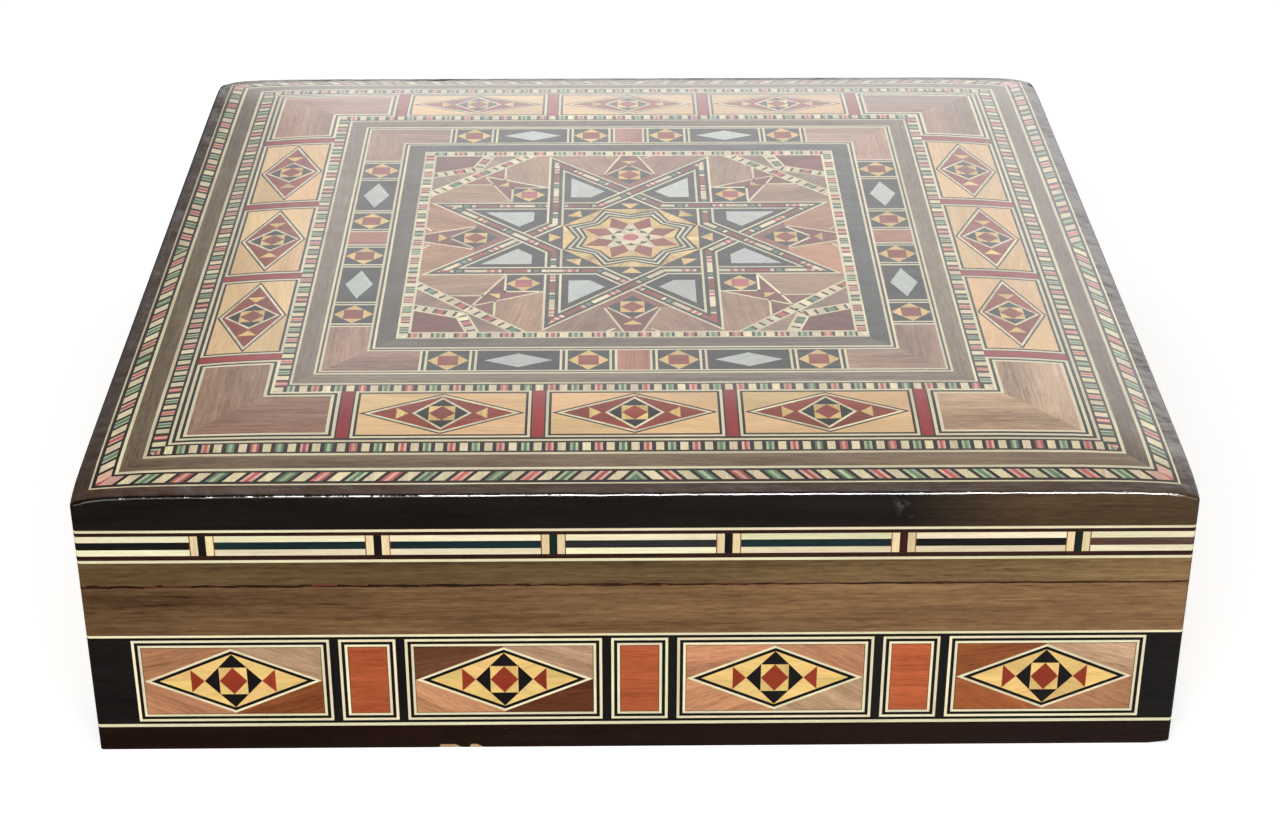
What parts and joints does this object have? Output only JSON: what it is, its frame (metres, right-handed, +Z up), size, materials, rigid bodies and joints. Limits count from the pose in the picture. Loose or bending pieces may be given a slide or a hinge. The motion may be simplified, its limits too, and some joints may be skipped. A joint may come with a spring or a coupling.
{
  "type": "hinged inlaid wooden box",
  "caption": "Square low wooden box with a hinged, slightly crowned lid, covered in geometric wood and mother-of-pearl inlay.",
  "frame": {"origin": "centre of the underside, on the surface the box stands on", "axes": "+Z up, the front faces -Y, the hinges are on the +Y side"},
  "size_m": [0.25, 0.25, 0.0727],
  "materials": {
    "carcass_wood": "plain beech, oiled",
    "dark_moulding": "very dark stained wood under high-gloss lacquer",
    "walnut": "straight-grained walnut under high-gloss lacquer",
    "ivory_line": "pale lemonwood stringing in ivory colour, lacquered",
    "ebony": "ebony, lacquered",
    "figured_walnut": "pinkish walnut with lively grain, lacquered",
    "lemonwood": "lemonwood, lacquered",
    "padauk": "orange-red padauk, lacquered",
    "red_wood": "deep red wood, lacquered",
    "banding": "pre-glued banding of pale, red, green and dark woods, lacquered",
    "pearl": "mother of pearl, polished under lacquer",
    "velvet": "short-pile velvet",
    "felt": "thin wool felt",
    "hinge_brass": "polished brass",
    "pin_steel": "plain steel"
  },
  "bodies": {
    "base": {"base_back_wall": "carcass_wood", "base_ebony_ground": "ebony", "base_felt": "felt", "base_floor_panel": "carcass_wood", "base_foot_strips": "dark_moulding", "base_front_wall": "carcass_wood", "base_left_wall": "carcass_wood", "base_padauk_blocks": "padauk", "base_panel_frames": "ivory_line", "base_panel_lozenges": "lemonwood", "base_panel_spandrels": "figured_walnut", "base_right_wall": "carcass_wood", "base_stringing": "ivory_line", "base_velvet_lining": "velvet", "base_walnut_bands": "walnut", "hinge_base_leaves": "hinge_brass", "hinge_base_screws": "hinge_brass", "hinge_pins": "pin_steel"},
    "lid": {"field_axis_segments": "figured_walnut", "field_corner_bandings": "banding", "field_corner_segments": "figured_walnut", "field_rosettes": "lemonwood", "hinge_lid_leaves": "hinge_brass", "hinge_lid_screws": "hinge_brass", "lid_back_wall": "carcass_wood", "lid_bar_frames": "ivory_line", "lid_bar_ground": "ebony", "lid_edge_mouldings": "dark_moulding", "lid_front_wall": "carcass_wood", "lid_left_wall": "carcass_wood", "lid_right_wall": "carcass_wood", "lid_side_stringing": "ivory_line", "lid_top_board": "carcass_wood", "lid_velvet_lining": "velvet", "lid_walnut_bands": "walnut", "star_centre_ground": "ebony", "star_centre_rosette": "lemonwood", "star_ebony_kites": "ebony", "star_pearl_kites": "pearl", "star_straps": "banding", "top_check_banding": "banding", "top_corner_blocks": "figured_walnut", "top_corner_stringing": "ivory_line", "top_dark_frame": "ebony", "top_ebony_tiles": "ebony", "top_fine_check_banding": "banding", "top_inner_check_banding": "banding", "top_inner_walnut_band": "walnut", "top_outer_walnut_band": "walnut", "top_padauk_blocks": "padauk", "top_panel_frames": "ivory_line", "top_panel_grounds": "lemonwood", "top_panel_lozenges": "red_wood", "top_pearl_lozenges": "pearl", "top_pearl_stringing": "ivory_line", "top_red_dividers": "red_wood", "top_rope_banding": "banding", "top_tile_rosettes": "lemonwood", "top_walnut_corners": "figured_walnut"}
  },
  "joints": [
    {"name": "lid_hinge", "type": "hinge", "parent": "base", "child": "lid", "pos_m": [0, 0.122, 0.045], "axis": [-1, 0, 0], "range_deg": [0, 100]}
  ]
}
